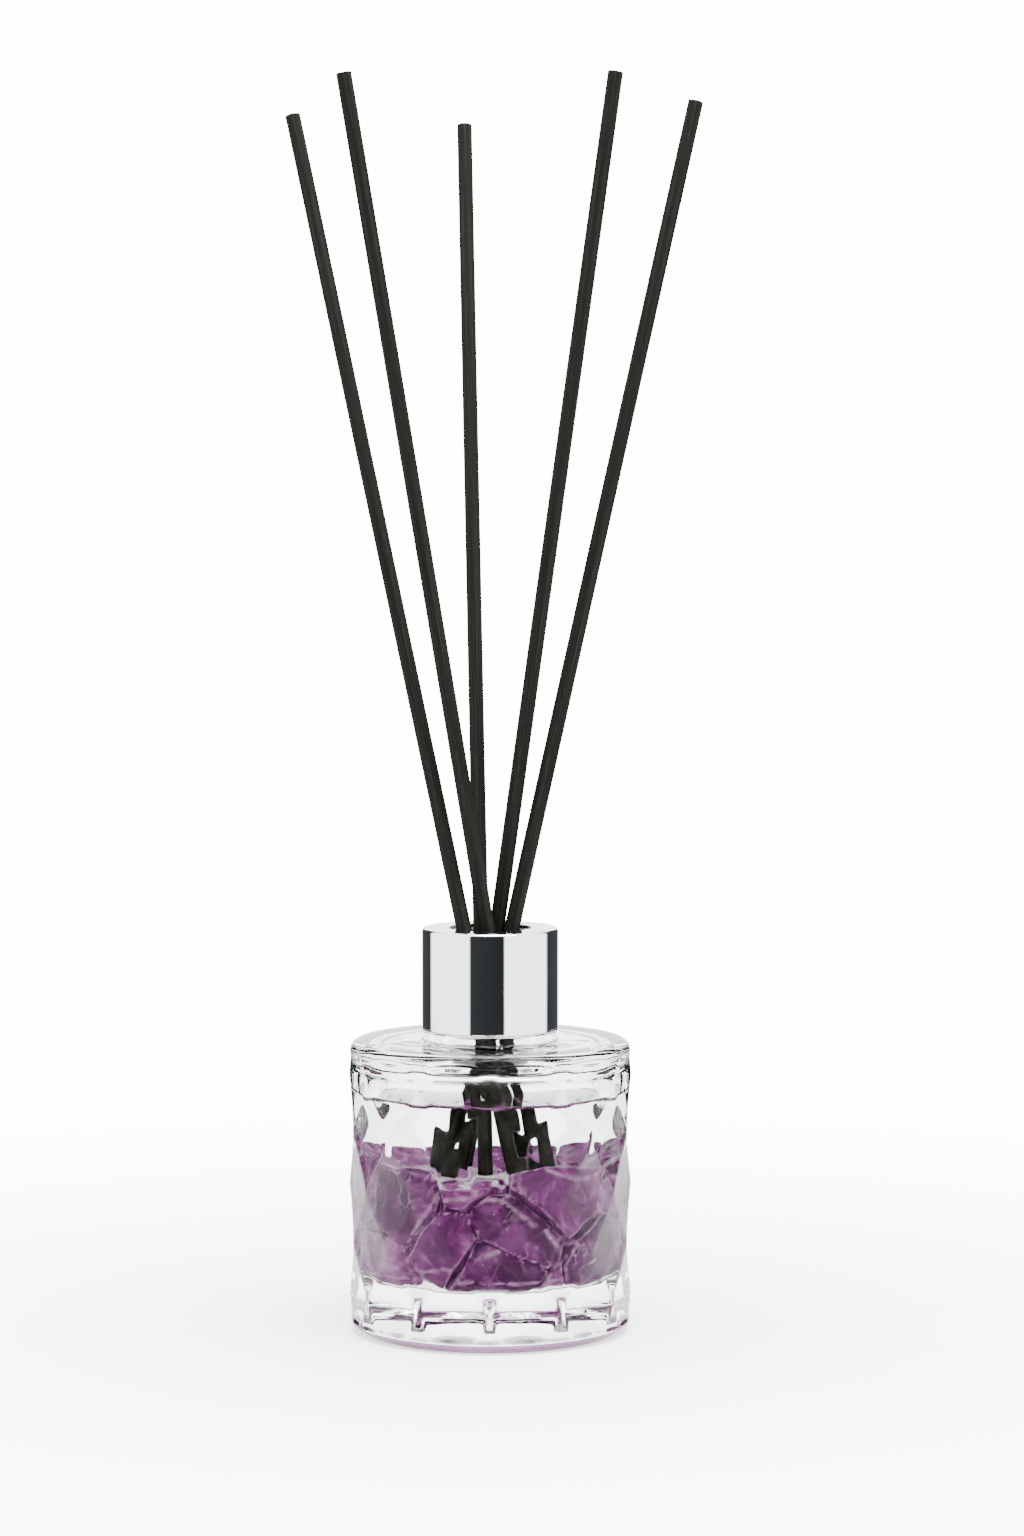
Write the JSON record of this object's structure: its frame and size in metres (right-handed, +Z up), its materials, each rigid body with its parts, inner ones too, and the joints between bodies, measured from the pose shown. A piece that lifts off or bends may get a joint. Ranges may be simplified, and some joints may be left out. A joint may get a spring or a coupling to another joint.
{
  "type": "reed fragrance diffuser",
  "caption": "Round faceted glass bottle with a screw-on chrome collar, black fibre reeds leaning out of the neck, clear oil and purple stone chips.",
  "frame": {"origin": "centre of the base's underside, on the surface that the bottle stands on", "axes": "+Z up along the bottle's axis; -Y is the front, +X to the viewer's right"},
  "size_m": [0.0966, 0.0937, 0.285],
  "materials": {
    "bottle_glass": "clear moulded, faceted",
    "collar_chrome": "mirror polished",
    "liner_plastic": "moulded, natural white",
    "seal_rubber": "soft foamed, natural",
    "oil_clear": "clear liquid",
    "reed_fibre": "matte dyed black fibre",
    "amethyst_stone": "tumbled, translucent purple"
  },
  "bodies": {
    "bottle": {"glass_bottle": "bottle_glass", "fragrance_oil": "oil_clear", "amethyst_01": "amethyst_stone", "amethyst_02": "amethyst_stone", "amethyst_03": "amethyst_stone", "amethyst_04": "amethyst_stone", "amethyst_05": "amethyst_stone", "amethyst_06": "amethyst_stone", "amethyst_07": "amethyst_stone", "amethyst_08": "amethyst_stone", "amethyst_09": "amethyst_stone", "amethyst_10": "amethyst_stone", "amethyst_11": "amethyst_stone", "amethyst_12": "amethyst_stone", "amethyst_13": "amethyst_stone", "amethyst_14": "amethyst_stone", "amethyst_15": "amethyst_stone", "amethyst_16": "amethyst_stone", "amethyst_17": "amethyst_stone", "amethyst_18": "amethyst_stone", "amethyst_19": "amethyst_stone", "amethyst_20": "amethyst_stone", "amethyst_21": "amethyst_stone", "amethyst_22": "amethyst_stone", "amethyst_23": "amethyst_stone", "amethyst_24": "amethyst_stone", "amethyst_25": "amethyst_stone", "amethyst_26": "amethyst_stone", "amethyst_27": "amethyst_stone", "amethyst_28": "amethyst_stone", "amethyst_29": "amethyst_stone", "amethyst_30": "amethyst_stone", "amethyst_31": "amethyst_stone", "amethyst_32": "amethyst_stone", "amethyst_33": "amethyst_stone", "amethyst_34": "amethyst_stone", "amethyst_35": "amethyst_stone", "amethyst_36": "amethyst_stone", "amethyst_37": "amethyst_stone", "amethyst_38": "amethyst_stone", "amethyst_39": "amethyst_stone"},
    "seal": {"sealing_ring": "seal_rubber"},
    "collar": {"collar_shell": "collar_chrome", "collar_liner": "liner_plastic"},
    "reed_1": {"reed_1": "reed_fibre"},
    "reed_2": {"reed_2": "reed_fibre"},
    "reed_3": {"reed_3": "reed_fibre"},
    "reed_4": {"reed_4": "reed_fibre"},
    "reed_5": {"reed_5": "reed_fibre"}
  },
  "joints": [
    {"name": "collar_lift", "type": "slide", "parent": "bottle", "child": "seal", "axis": [0, 0, 1], "range_m": [0, 0.00211]},
    {"name": "collar_turn", "type": "hinge", "parent": "seal", "child": "collar", "pos_m": [0, 0, 0.0902], "axis": [0, 0, 1], "range_deg": [0, 180]},
    {"name": "reed_1_draw", "type": "slide", "parent": "bottle", "child": "reed_1", "axis": [-0.2067, 0.1909, 0.9596], "range_m": [0, 0.055]},
    {"name": "reed_2_draw", "type": "slide", "parent": "bottle", "child": "reed_2", "axis": [-0.1641, 0.0026, 0.9864], "range_m": [0, 0.055]},
    {"name": "reed_3_draw", "type": "slide", "parent": "bottle", "child": "reed_3", "axis": [-0.0215, 0.2842, 0.9585], "range_m": [0, 0.055]},
    {"name": "reed_4_draw", "type": "slide", "parent": "bottle", "child": "reed_4", "axis": [0.1368, 0.0058, 0.9906], "range_m": [0, 0.055]},
    {"name": "reed_5_draw", "type": "slide", "parent": "bottle", "child": "reed_5", "axis": [0.2172, 0.1118, 0.9697], "range_m": [0, 0.055]}
  ],
  "couplings": [
    {"joint": "collar_turn", "follows": "collar_lift", "rad_per_m": 1485.4}
  ]
}
